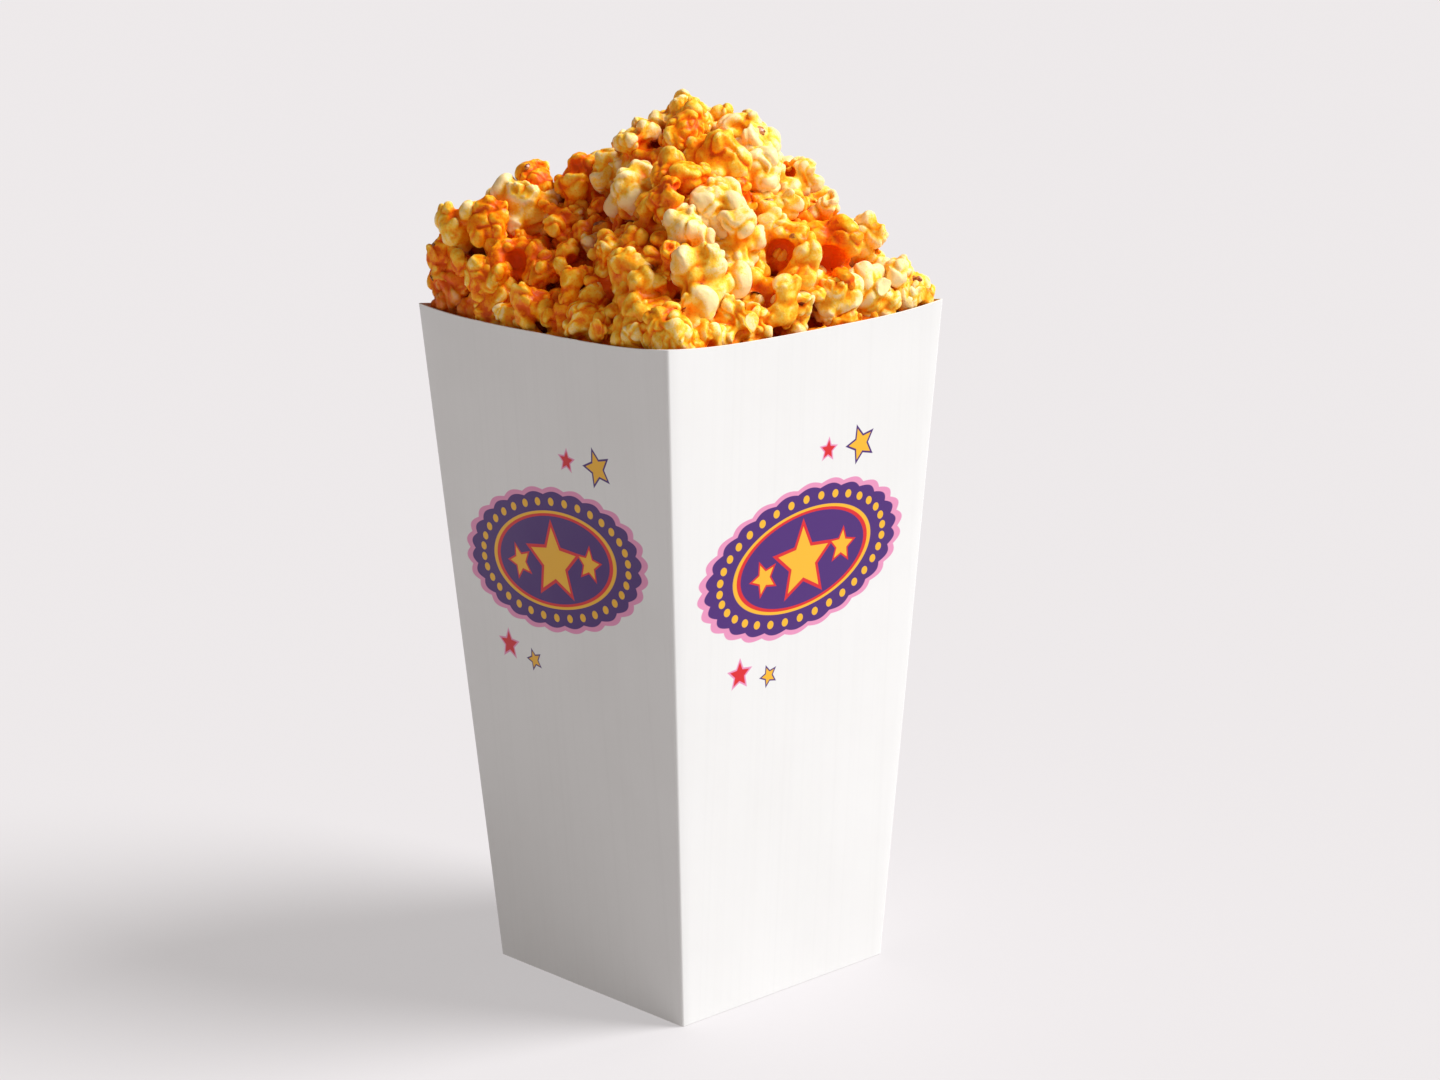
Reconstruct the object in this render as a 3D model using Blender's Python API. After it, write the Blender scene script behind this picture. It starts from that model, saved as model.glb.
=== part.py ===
"""A tall tapered card bucket heaped with popcorn, at its real size.

Metres, +Z up. The origin is on the floor, under the middle of the bucket, whose walls face
-X, +X, -Y and +Y. The corner between -X and -Y is the one that a customer sees first.
"""

import math
import random

import bmesh
import bpy
from mathutils import Euler, Matrix, Vector

# The bucket, one folded piece of board
TOP_WIDTH = 0.130
BASE_WIDTH = 0.0985
HEIGHT = 0.242
BOARD = 0.0006
FLOOR_THICKNESS = 0.0015
FOLD_RADIUS = 0.0012
RIM_DIP = 0.0024
RIM_DIP_POWER = 3.5
WALL_BOW = 0.0009
WALL_STEPS = 12
FOLD_STEPS = 3
WALL_LEVELS = 6

# The folded flaps of the base show underneath as shallow seams
SEAM_WIDTH = 0.0008
SEAM_DEPTH = 0.0005
SEAM_JOG = 0.012
SEAM_MARGIN = 0.003

# The heap: a square mound with a shoulder over the left corner, a dip beside it and a broad crown
HEAP_PEAK = 0.065
HEAP_FALL = 0.066
HEAP_SQUARENESS = 12
HEAP_POWER = 1.7
HEAP_EDGE = 0.007
SWELLS = (
    {"across": -0.081, "height": 0.030, "spread": 0.014},
    {"across": -0.030, "height": -0.008, "spread": 0.009},
    {"across": 0.030, "height": 0.004, "spread": 0.012},
)
EDGE_LEVEL = -0.001
SEEN_FROM = math.radians(-42.8)

# The flakes and the core that they are fused to
WALL_GAP = 0.0006
CORE_DROP = 0.0055
CORE_CELLS = 12
CORE_LUMP = 0.0012
CORE_INSET = 0.005
CORE_BELOW_RIM = 0.014
FLAKE_SEED = 41
FLAKE_TRIES = 4000
FLAKE_SIZES = (0.0155, 0.0215)
FLAKE_SPACING = 0.68
FLAKE_LIFT = (-0.0005, 0.0025)
WALL_TIER = 0.010
WALL_SQUEEZE = 0.62
LEAST_RADIUS = 0.34
KINDS = ("butterfly", "mushroom", "curled", "nub")
KIND_WEIGHTS = (46, 28, 20, 6)
VARIANTS = 6
POPCORN_TRIANGLES = 9800

# The flakes that make the heap's outline and its front: millimetres across and towards the
# viewed corner, millimetres from the rim up to the centre, size in millimetres, and kind
KEY_FLAKES = (
    (-51, -5, 44, 13, "nub"),
    (-56, -2, 34, 24, "mushroom"),
    (-44, 8, 32, 17, "butterfly"),
    (-35, -3, 43, 20, "mushroom"),
    (-25, -8, 43, 17, "butterfly"),
    (-12, 25, 44, 25, "mushroom"),
    (-12, 41, 32, 21, "butterfly"),
    (-13, -6, 56, 19, "butterfly"),
    (0, -8, 64, 18, "curled"),
    (12, -4, 62, 17, "butterfly"),
    (25, 5, 58, 21, "mushroom"),
    (13, 23, 52, 23, "mushroom"),
    (14, 39, 38, 23, "mushroom"),
    (20, 45, 28, 23, "butterfly"),
    (39, 2, 44, 19, "butterfly"),
    (40, 14, 33, 15, "curled"),
    (53, 4, 29, 20, "butterfly"),
    (37, 35, 22, 24, "curled"),
    (53, 22, 17, 26, "curled"),
    (65, 4, 20, 18, "butterfly"),
    (76, 6, 7, 19, "butterfly"),
    (9, 62, 15, 30, "butterfly"),
    (-15, 50, 20, 21, "mushroom"),
    (-33, 30, 22, 19, "curled"),
    (-31, 49, 5, 16, "nub"),
    (-13, 62, 10, 24, "butterfly"),
    (-13, 72, 2, 18, "mushroom"),
    (1, 82, 1, 16, "nub"),
    (44, 46, 2, 19, "butterfly"),
    (56, 30, 5, 19, "mushroom"),
    (31, 50, 10, 21, "curled"),
    (-45, 24, 18, 18, "butterfly"),
    (-58, 16, 17, 18, "curled"),
    (-71, 14, 10, 18, "mushroom"),
    (-86, 1, 5, 16, "butterfly"),
    (-87, 1, 17, 16, "mushroom"),
    (-79, 0, 27, 21, "butterfly"),
    (-67, 6, 31, 16, "mushroom"),
    (-51, 32, 5, 19, "butterfly"),
    (19, 68, 2, 19, "butterfly"),
    (86, 2, 1, 14, "mushroom"),
    (-68, 16, 3, 18, "mushroom"),
    (32, 26, 35, 19, "butterfly"),
    (-26, 25, 34, 17, "butterfly"),
    (65, 18, 6, 18, "mushroom"),
    (-2, 59, 24, 17, "butterfly"),
)

BOARD_COLOUR = (0.86, 0.86, 0.85, 1.0)
POPCORN_COLOUR = (0.86, 0.36, 0.04, 1.0)


def clear_scene():
    for obj in list(bpy.data.objects):
        bpy.data.objects.remove(obj)


def make_material(name, colour, roughness):
    material = bpy.data.materials.new(name)
    material.use_nodes = True
    shader = material.node_tree.nodes["Principled BSDF"]
    shader.inputs["Base Color"].default_value = colour
    shader.inputs["Roughness"].default_value = roughness
    shader.inputs["Metallic"].default_value = 0.0
    return material


def add_object(name, bm, material=None, collection=None):
    mesh = bpy.data.meshes.new(name)
    bm.to_mesh(mesh)
    bm.free()
    obj = bpy.data.objects.new(name, mesh)
    (collection or bpy.context.scene.collection).objects.link(obj)
    if material:
        mesh.materials.append(material)
    return obj


def apply_modifiers(obj):
    """Replaces the object's mesh by what its modifiers make of it."""
    graph = bpy.context.evaluated_depsgraph_get()
    evaluated = bpy.data.meshes.new_from_object(obj.evaluated_get(graph))
    obj.modifiers.clear()
    obj.data = evaluated


# The bucket

def half_width(z):
    """Half the bucket's outside width at a height; the taper also goes on above the rim."""
    return (BASE_WIDTH + (TOP_WIDTH - BASE_WIDTH) * z / HEIGHT) / 2


def wall_ring(level, inset, low=0.0):
    """One closed ring of points round the walls, from the floor at level 0 to the rim at 1."""
    points = []
    radius = FOLD_RADIUS - inset
    for side in range(4):
        turn = Matrix.Rotation(side * math.pi / 2, 3, "Z")
        for step in range(WALL_STEPS):
            t = -1 + 2 * step / WALL_STEPS
            rim = HEIGHT - RIM_DIP * (1 - abs(t) ** RIM_DIP_POWER)
            z = low + (rim - low) * level
            half = half_width(z)
            bow = WALL_BOW * math.sin(math.pi * level) * (1 - t * t)
            points.append(turn @ Vector((t * (half - FOLD_RADIUS), -half - bow + inset, z)))
        z = low + (HEIGHT - low) * level
        middle = half_width(z) - FOLD_RADIUS
        for step in range(FOLD_STEPS):
            angle = -math.pi / 2 + math.pi / 2 * step / FOLD_STEPS
            offset = Vector((math.cos(angle), math.sin(angle), 0)) * radius
            points.append(turn @ (Vector((middle, -middle, z)) + offset))
    return points


def make_bucket(material):
    bm = bmesh.new()

    def ring_of(points):
        verts = [bm.verts.new(point) for point in points]
        return verts, [bm.edges.new(pair) for pair in zip(verts, verts[1:] + verts[:1])]

    outer = [ring_of(wall_ring(k / WALL_LEVELS, 0.0)) for k in range(WALL_LEVELS + 1)]
    inner = [
        ring_of(wall_ring(k / WALL_LEVELS, BOARD, FLOOR_THICKNESS))
        for k in range(WALL_LEVELS + 1)
    ]
    rings = outer + inner[::-1]
    for lower, upper in zip(rings, rings[1:]):
        bmesh.ops.bridge_loops(bm, edges=lower[1] + upper[1])
    bm.faces.new(outer[0][0])
    bm.faces.new(inner[0][0])
    bmesh.ops.recalc_face_normals(bm, faces=bm.faces)
    bucket = add_object("bucket", bm, material)
    cut_base_seams(bucket)
    return bucket


def cut_base_seams(bucket):
    """The jogged seam of the two large flaps, and a slanted edge of each small one."""
    seams = bpy.data.collections.new("base_seams")
    seams.hide_render = True
    bpy.context.scene.collection.children.link(seams)
    edge = BASE_WIDTH / 2 - SEAM_MARGIN
    slant = edge - SEAM_JOG
    runs = (
        ((-edge, SEAM_JOG), (-SEAM_WIDTH, SEAM_JOG)),
        ((0, SEAM_JOG), (0, -SEAM_JOG)),
        ((SEAM_WIDTH, -SEAM_JOG), (edge, -SEAM_JOG)),
        ((-edge, edge), (-edge + slant / 2, SEAM_JOG + SEAM_WIDTH)),
        ((edge, -edge), (edge - slant / 2, -SEAM_JOG - SEAM_WIDTH)),
    )
    for number, (start, end) in enumerate(runs):
        along = Vector(end) - Vector(start)
        bm = bmesh.new()
        bmesh.ops.create_cube(bm, size=1.0)
        bmesh.ops.scale(bm, verts=bm.verts, vec=(along.length, SEAM_WIDTH, 2 * SEAM_DEPTH))
        cutter = add_object(f"base_seam_{number}", bm, collection=seams)
        cutter.location = ((Vector(start) + Vector(end)) / 2).to_3d()
        cutter.rotation_euler.z = math.atan2(along.y, along.x)
        cutter.hide_render = True
        cutter.display_type = "WIRE"
    cut = bucket.modifiers.new("base seams", "BOOLEAN")
    cut.operation = "DIFFERENCE"
    cut.operand_type = "COLLECTION"
    cut.collection = seams
    cut.solver = "EXACT"


# The heap

def from_view(across, toward):
    """A place in plan, from distances to the right of the middle and towards the viewer."""
    right = Vector((math.cos(SEEN_FROM), math.sin(SEEN_FROM)))
    front = Vector((math.sin(SEEN_FROM), -math.cos(SEEN_FROM)))
    return right * across + front * toward


def heap_surface(place):
    """Height of the flakes' centres over a place in plan."""
    reach = half_width(HEIGHT) - HEAP_EDGE
    n = HEAP_SQUARENESS
    away = ((abs(place.x) / reach) ** n + (abs(place.y) / reach) ** n) ** (1 / n)
    z = HEAP_PEAK - HEAP_FALL * away**HEAP_POWER
    for swell in SWELLS:
        off = place - from_view(swell["across"], 0)
        z += swell["height"] * math.exp(-off.length_squared / (2 * swell["spread"] ** 2))
    return HEIGHT + max(z, EDGE_LEVEL)


def room_at(z):
    """How far from the middle the popcorn may reach at a height, inside the walls or over them."""
    return half_width(min(z, HEIGHT)) - BOARD - WALL_GAP


def settle(place, z, size, kind, draw):
    """One flake, moved in from the walls, as its centre, size, kind, variant and turn."""
    room = room_at(z) - WALL_SQUEEZE * size / 2
    x, y = (max(-room, min(room, value)) for value in place)
    return {
        "centre": Vector((x, y, z)),
        "size": size,
        "kind": kind,
        "variant": draw.randrange(VARIANTS),
        "turn": Euler([draw.uniform(0, math.tau) for _ in range(3)]).to_matrix(),
    }


def place_flakes():
    """Every flake of the outer layer: the chosen ones, then others wherever there is room."""
    draw = random.Random(FLAKE_SEED)
    flakes = []
    for across, toward, z, size, kind in KEY_FLAKES:
        place = from_view(across / 1000, toward / 1000)
        flakes.append(settle(place, HEIGHT + z / 1000, size / 1000, kind, draw))
    reach = half_width(HEIGHT)
    for _ in range(FLAKE_TRIES):
        place = Vector((draw.uniform(-reach, reach), draw.uniform(-reach, reach)))
        size = draw.uniform(*FLAKE_SIZES)
        kind = draw.choices(KINDS, KIND_WEIGHTS)[0]
        z = heap_surface(place) + draw.uniform(*FLAKE_LIFT)
        if max(abs(place.x), abs(place.y)) > reach - WALL_TIER:
            z = draw.uniform(HEIGHT + EDGE_LEVEL, z)
        new = settle(place, z, size, kind, draw)
        clear = all(
            (new["centre"] - old["centre"]).length > FLAKE_SPACING * (size + old["size"]) / 2
            for old in flakes
        )
        if clear:
            flakes.append(new)
    return flakes


def beside_walls(centre, offset, size):
    """A point of a flake, with the flake squeezed where it lies against a wall."""
    point = centre + offset
    limit = room_at(point.z)
    for axis in (0, 1):
        outward = offset[axis] * centre[axis] > 0
        squeeze = min(1, (limit - abs(centre[axis])) / (size / 2)) if outward else 1
        value = centre[axis] + offset[axis] * squeeze
        point[axis] = max(-limit, min(limit, value))
    return point


def spread_directions(count, draw):
    """Directions spread evenly over a ball, each a little off its place."""
    found = []
    for k in range(count):
        z = 1 - (2 * k + 1) / count
        angle = k * math.pi * (3 - math.sqrt(5))
        ring = math.sqrt(1 - z * z)
        jitter = Vector([draw.uniform(-0.3, 0.3) for _ in range(3)])
        found.append((Vector((ring * math.cos(angle), ring * math.sin(angle), z)) + jitter).normalized())
    return found


def flake_lobes(kind, variant):
    """The round lobes of one popped kernel, as centres and radii in a ball of radius 1."""
    draw = random.Random(f"{kind} {variant}")
    if kind == "mushroom":
        lobes = [(Vector((0, 0, 0)), 0.66)]
        for direction in spread_directions(9, draw):
            lobes.append((direction * draw.uniform(0.50, 0.60), draw.uniform(0.32, 0.44)))
    elif kind == "butterfly":
        lobes = [(Vector((0, 0, 0)), 0.44)]
        for direction in spread_directions(6, draw):
            reach = direction * draw.uniform(0.52, 0.68)
            reach.z *= 0.75
            lobes.append((reach, draw.uniform(0.28, 0.42)))
    elif kind == "curled":
        lobes = [(Vector((0, 0, -0.30)), 0.46)]
        for k in range(6):
            angle = math.radians(-125 + 50 * k + draw.uniform(-10, 10))
            place = Vector((0.56 * math.cos(angle), 0.56 * math.sin(angle), draw.uniform(-0.1, 0.25)))
            lobes.append((place, draw.uniform(0.30, 0.42)))
    else:
        lobes = [(Vector((0, 0, 0.28)), 0.62), (Vector((0.12, 0.05, -0.38)), 0.52)]
        lobes.append((Vector((-0.3, 0.2, -0.1)), 0.45))
    return lobes


def outline_radius(direction, lobes):
    """How far the lobes reach from the flake's centre in one direction."""
    reach = LEAST_RADIUS
    for centre, radius in lobes:
        along = centre.dot(direction)
        inside = radius**2 - (centre.length_squared - along**2)
        if inside > 0:
            reach = max(reach, along + math.sqrt(inside))
    return reach


def make_flake(flake, collection, number):
    bm = bmesh.new()
    bmesh.ops.create_icosphere(bm, subdivisions=2, radius=1.0)
    lobes = flake_lobes(flake["kind"], flake["variant"])
    for vert in bm.verts:
        direction = vert.co.normalized()
        local = direction * outline_radius(direction, lobes) * flake["size"] / 2
        vert.co = beside_walls(flake["centre"], flake["turn"] @ local, flake["size"])
    return add_object(f"flake_{number}", bm, collection=collection)


def make_core(material):
    """The popcorn that fills the bucket: straight sides, then a lumpy top set in from the walls."""
    draw = random.Random(FLAKE_SEED)
    bm = bmesh.new()
    bmesh.ops.create_grid(bm, x_segments=CORE_CELLS, y_segments=CORE_CELLS, size=1.0)
    for vert in bm.verts:
        place = vert.co.xy * (room_at(HEIGHT) - CORE_INSET)
        z = heap_surface(place) - CORE_DROP + draw.uniform(-CORE_LUMP, CORE_LUMP)
        vert.co = place.to_3d() + Vector((0, 0, z))
    for z in (HEIGHT - CORE_BELOW_RIM, FLOOR_THICKNESS + WALL_GAP):
        border = [edge for edge in bm.edges if edge.is_boundary]
        made = bmesh.ops.extrude_edge_only(bm, edges=border)["geom"]
        for vert in (item for item in made if isinstance(item, bmesh.types.BMVert)):
            share = vert.co.xy / max(abs(vert.co.x), abs(vert.co.y))
            vert.co = (share * room_at(z)).to_3d() + Vector((0, 0, z))
    bmesh.ops.contextual_create(bm, geom=[edge for edge in bm.edges if edge.is_boundary])
    bmesh.ops.recalc_face_normals(bm, faces=bm.faces)
    return add_object("popcorn", bm, material)


def keep_outer_shell(obj):
    """Fills sealed hollows and drops loose scraps, by keeping the largest connected surface."""
    bm = bmesh.new()
    bm.from_mesh(obj.data)
    left = set(bm.faces)
    shells = []
    while left:
        front = [left.pop()]
        shell = list(front)
        while front:
            near = {face for edge in front.pop().edges for face in edge.link_faces} & left
            left -= near
            front += near
            shell += near
        shells.append(shell)
    shells.sort(key=len)
    for shell in shells[:-1]:
        bmesh.ops.delete(bm, geom=shell, context="FACES")
    bmesh.ops.triangulate(bm, faces=bm.faces)
    bm.to_mesh(obj.data)
    bm.free()


def make_popcorn(material):
    core = make_core(material)
    flakes = bpy.data.collections.new("flakes")
    bpy.context.scene.collection.children.link(flakes)
    for number, flake in enumerate(place_flakes()):
        make_flake(flake, flakes, number)
    fuse = core.modifiers.new("fuse flakes", "BOOLEAN")
    fuse.operation = "UNION"
    fuse.operand_type = "COLLECTION"
    fuse.collection = flakes
    fuse.solver = "EXACT"
    apply_modifiers(core)
    for obj in list(flakes.objects):
        bpy.data.objects.remove(obj)
    bpy.data.collections.remove(flakes)
    keep_outer_shell(core)
    thin = core.modifiers.new("fewer triangles", "DECIMATE")
    thin.ratio = min(1, POPCORN_TRIANGLES / len(core.data.polygons))
    return core


clear_scene()
board = make_material("coated_board", BOARD_COLOUR, 0.5)
make_bucket(board)
popcorn = make_popcorn(make_material("cheese_popcorn", POPCORN_COLOUR, 0.55))
print("popcorn triangles", len(popcorn.data.polygons))
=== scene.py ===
import math
import random
import time

import bmesh
import bpy
import numpy as np
from mathutils import Euler, Matrix, Vector, noise
from mathutils.bvhtree import BVHTree


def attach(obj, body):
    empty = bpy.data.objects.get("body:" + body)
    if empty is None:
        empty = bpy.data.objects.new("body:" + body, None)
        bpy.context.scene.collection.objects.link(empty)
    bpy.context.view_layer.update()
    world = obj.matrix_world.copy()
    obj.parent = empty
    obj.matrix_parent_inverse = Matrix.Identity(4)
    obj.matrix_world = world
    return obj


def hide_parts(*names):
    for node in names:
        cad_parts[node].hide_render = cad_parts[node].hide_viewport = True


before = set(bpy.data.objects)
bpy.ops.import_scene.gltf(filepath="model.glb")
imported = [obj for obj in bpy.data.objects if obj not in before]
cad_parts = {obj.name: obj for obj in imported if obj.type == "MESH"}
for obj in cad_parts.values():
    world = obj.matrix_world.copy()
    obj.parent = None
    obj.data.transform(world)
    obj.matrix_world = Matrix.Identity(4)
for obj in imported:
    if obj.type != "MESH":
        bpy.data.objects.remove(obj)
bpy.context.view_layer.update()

startTime = time.time()
noise.seed_set(5)        # noise_vector draws its offsets from the clock without this


def say(stage):
    print(f"{time.time() - startTime:6.1f} s  {stage}")


# Shared sizes, in metres, the same as the solids'
bucketSize = {
    "topWidth": 0.130,
    "baseWidth": 0.0985,
    "height": 0.242,
    "board": 0.0006,
    "floorThickness": 0.0015,
    "foldRadius": 0.0013,
    "rimDip": 0.0024,
    "rimDipPower": 3.5,
    "wallBow": 0.0009,
}
viewedFrom = math.radians(-42.8)


def halfWidth(z):
    base, top = bucketSize["baseWidth"], bucketSize["topWidth"]
    return (base + (top - base) * z / bucketSize["height"]) / 2


# Camera, fitted to the six corners of the bucket that show
cameraSettings = {
    "azimuth": -42.82,
    "elevation": 14.05,
    "roll": -0.83,
    "distance": 1.1635,
    "lens": 81.94,
    "aimAcross": 0.01274,
    "aimHeight": 0.156,
}


def makeCamera(settings):
    azimuth, elevation, roll = (math.radians(settings[k]) for k in ("azimuth", "elevation", "roll"))
    level = math.cos(elevation)
    back = Vector((math.sin(azimuth) * level, -math.cos(azimuth) * level, math.sin(elevation)))
    right = Vector((0, 0, 1)).cross(back).normalized()
    aim = right * settings["aimAcross"] + Vector((0, 0, settings["aimHeight"]))
    turn = Matrix((right, back.cross(right), back)).transposed() @ Matrix.Rotation(roll, 3, "Z")
    data = bpy.data.cameras.new("camera")
    data.lens = settings["lens"]
    data.clip_start, data.clip_end = 0.02, 40
    camera = bpy.data.objects.new("camera", data)
    camera.matrix_world = Matrix.Translation(aim + back * settings["distance"]) @ turn.to_4x4()
    bpy.context.scene.collection.objects.link(camera)
    bpy.context.scene.camera = camera


makeCamera(cameraSettings)
say("camera")


# Node helpers

class Shading:
    def __init__(self, name):
        self.material = bpy.data.materials.new(name)
        self.material.use_nodes = True
        self.tree = self.material.node_tree
        self.shader = self.tree.nodes["Principled BSDF"]
        self.coords = self.tree.nodes.new("ShaderNodeTexCoord")

    def put(self, value, socket):
        if isinstance(value, bpy.types.NodeSocket):
            self.tree.links.new(value, socket)
        else:
            socket.default_value = value

    def math(self, operation, *values, clamp=False):
        node = self.tree.nodes.new("ShaderNodeMath")
        node.operation, node.use_clamp = operation, clamp
        for value, socket in zip(values, node.inputs):
            self.put(value, socket)
        return node.outputs[0]

    def noise(self, vector, scale, detail=3.0, roughness=0.5, distortion=0.0):
        node = self.tree.nodes.new("ShaderNodeTexNoise")
        for key, value in (("Vector", vector), ("Scale", scale), ("Detail", detail),
                           ("Roughness", roughness), ("Distortion", distortion)):
            self.put(value, node.inputs[key])
        return node.outputs["Fac"]

    def attribute(self, name):
        node = self.tree.nodes.new("ShaderNodeAttribute")
        node.attribute_name = name
        return node.outputs["Fac"]

    def spread(self, value, low, high, toLow=0.0, toHigh=1.0):
        node = self.tree.nodes.new("ShaderNodeMapRange")
        node.interpolation_type = "SMOOTHSTEP"
        for k, number in enumerate((value, low, high, toLow, toHigh)):
            self.put(number, node.inputs[k])
        return node.outputs[0]

    def ramp(self, value, stops):
        node = self.tree.nodes.new("ShaderNodeValToRGB")
        self.put(value, node.inputs[0])
        elements = node.color_ramp.elements
        while len(elements) < len(stops):
            elements.new(1.0)
        for element, (place, colour) in zip(elements, stops):
            element.position, element.color = place, (*colour, 1.0)
        return node.outputs["Color"]

    def mix(self, share, first, second):
        node = self.tree.nodes.new("ShaderNodeMix")
        node.data_type = "RGBA"
        self.put(share, node.inputs[0])
        for colour, key in ((first, 6), (second, 7)):
            linked = isinstance(colour, bpy.types.NodeSocket)
            self.put(colour if linked else (*colour, 1.0), node.inputs[key])
        return node.outputs[2]

    def bump(self, height, strength, distance, onto=None):
        node = self.tree.nodes.new("ShaderNodeBump")
        self.put(height, node.inputs["Height"])
        self.put(strength, node.inputs["Strength"])
        self.put(distance, node.inputs["Distance"])
        if onto:
            self.put(onto, node.inputs["Normal"])
        return node.outputs[0]


def addPiece(name, bm, materials, body="root"):
    mesh = bpy.data.meshes.new(name)
    bm.to_mesh(mesh)
    bm.free()
    return addMeshPiece(name, mesh, materials, body)


def addMeshPiece(name, mesh, materials, body="root"):
    piece = bpy.data.objects.new(name, mesh)
    bpy.context.scene.collection.objects.link(piece)
    for material in materials:
        mesh.materials.append(material)
    mesh.shade_smooth()
    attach(piece, body)
    return piece


def writeAttribute(mesh, name, values):
    mesh.attributes.new(name, "FLOAT", "POINT").data.foreach_set("value", values)


def bakeModifiers(piece):
    graph = bpy.context.evaluated_depsgraph_get()
    made = bpy.data.meshes.new_from_object(piece.evaluated_get(graph))
    piece.modifiers.clear()
    old, piece.data = piece.data, made
    bpy.data.meshes.remove(old)
    return made


# The heap's form and the places of its flakes, by the same rule and draws as the solids'
heap = {
    "peak": 0.065,
    "fall": 0.066,
    "squareness": 12,
    "power": 1.7,
    "edge": 0.007,
    "edgeLevel": -0.001,
    "swells": (        # across, height, spread
        (-0.081, 0.030, 0.014),
        (-0.030, -0.008, 0.009),
        (0.030, 0.004, 0.012),
    ),
    "wallGap": 0.0006,
    "seed": 41,
    "tries": 4000,
    "sizes": (0.0155, 0.0215),
    "spacing": 0.68,
    "lift": (-0.0005, 0.0025),
    "wallTier": 0.010,
    "wallSqueeze": 0.62,
    "kinds": ("butterfly", "mushroom", "curled", "nub"),
    "weights": (46, 28, 20, 6),
    "variants": 6,
    "cupsUp": 0.45,
    "cupsLean": 0.35,
}

# Across, towards the viewed corner, over the rim and size, in millimetres; then the kind, and the
# tone from orange 0 to cream 1
keyFlakes = (
    (-51, -5, 44, 13, "nub", 0.08),
    (-56, -2, 34, 24, "mushroom", 0.94),
    (-44, 8, 32, 17, "butterfly", 0.58),
    (-35, -3, 43, 20, "mushroom", 0.30),
    (-25, -8, 43, 17, "butterfly", 0.42),
    (-12, 25, 44, 25, "mushroom", 0.80),
    (-12, 41, 32, 21, "butterfly", 0.34),
    (-13, -6, 56, 19, "butterfly", 0.60),
    (0, -8, 64, 18, "curled", 0.66),
    (12, -4, 62, 17, "butterfly", 0.60),
    (25, 5, 58, 21, "mushroom", 0.82),
    (13, 23, 52, 23, "mushroom", 0.46),
    (14, 39, 38, 23, "mushroom", 0.82),
    (20, 45, 28, 23, "butterfly", 0.80),
    (39, 2, 44, 19, "butterfly", 0.74),
    (40, 14, 33, 15, "curled", 0.34),
    (53, 4, 29, 20, "butterfly", 0.72),
    (37, 35, 22, 24, "curled", 0.40),
    (53, 22, 17, 26, "curled", 0.12),
    (65, 4, 20, 18, "butterfly", 0.62),
    (76, 6, 7, 19, "butterfly", 0.62),
    (9, 62, 15, 30, "butterfly", 0.76),
    (-15, 50, 20, 21, "mushroom", 0.56),
    (-33, 30, 22, 19, "curled", 0.76),
    (-31, 49, 5, 16, "nub", 0.62),
    (-13, 62, 10, 24, "butterfly", 0.44),
    (-13, 72, 2, 18, "mushroom", 0.54),
    (1, 82, 1, 16, "nub", 0.52),
    (44, 46, 2, 19, "butterfly", 0.60),
    (56, 30, 5, 19, "mushroom", 0.66),
    (31, 50, 10, 21, "curled", 0.42),
    (-45, 24, 18, 18, "butterfly", 0.38),
    (-58, 16, 17, 18, "curled", 0.40),
    (-71, 14, 10, 18, "mushroom", 0.60),
    (-86, 1, 5, 16, "butterfly", 0.50),
    (-87, 1, 17, 16, "mushroom", 0.56),
    (-79, 0, 27, 21, "butterfly", 0.70),
    (-67, 6, 31, 16, "mushroom", 0.36),
    (-51, 32, 5, 19, "butterfly", 0.28),
    (19, 68, 2, 19, "butterfly", 0.62),
    (86, 2, 1, 14, "mushroom", 0.26),
    (-68, 16, 3, 18, "mushroom", 0.50),
    (32, 26, 35, 19, "butterfly", 0.56),
    (-26, 25, 34, 17, "butterfly", 0.20),
    (65, 18, 6, 18, "mushroom", 0.70),
    (-2, 59, 24, 17, "butterfly", 0.36),
)


def fromView(across, toward):
    right = Vector((math.cos(viewedFrom), math.sin(viewedFrom)))
    front = Vector((math.sin(viewedFrom), -math.cos(viewedFrom)))
    return right * across + front * toward


def anyTurn(draw):
    return Euler([draw.uniform(0, math.tau) for _ in range(3)]).to_matrix()


def scatter(draw, reach):
    return Vector([draw.uniform(-reach, reach) for _ in range(3)])


# Height of the heap's plain surface at a place
def heapSurface(place):
    reach = halfWidth(bucketSize["height"]) - heap["edge"]
    n = heap["squareness"]
    away = ((abs(place.x) / reach) ** n + (abs(place.y) / reach) ** n) ** (1 / n)
    z = heap["peak"] - heap["fall"] * away ** heap["power"]
    for across, height, spread in heap["swells"]:
        off = place - fromView(across, 0)
        z += height * math.exp(-off.length_squared / (2 * spread**2))
    return bucketSize["height"] + max(z, heap["edgeLevel"])


def roomAt(z):
    return halfWidth(min(z, bucketSize["height"])) - bucketSize["board"] - heap["wallGap"]


# A flake at a place, moved in until it fits between the walls
def settle(place, z, size, kind, draw):
    room = roomAt(z) - heap["wallSqueeze"] * size / 2
    x, y = (max(-room, min(room, value)) for value in place)
    return {
        "centre": Vector((x, y, z)),
        "size": size,
        "kind": kind,
        "key": False,
        "variant": draw.randrange(heap["variants"]),
        "turn": anyTurn(draw),
    }


# The turn of a curled key flake, with its hollow side to the viewer
def cupTurn(number):
    draw = random.Random(number)
    front = Vector((math.sin(viewedFrom), -math.cos(viewedFrom), heap["cupsUp"]))
    opening = (front + scatter(draw, heap["cupsLean"])).to_track_quat("Z", "Y").to_matrix()
    return opening @ Matrix.Rotation(draw.uniform(0, math.tau), 3, "Z")


def apart(new, flakes, spacing):
    return all(
        (new["centre"] - old["centre"]).length > spacing * (new["size"] + old["size"]) / 2
        for old in flakes
    )


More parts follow.
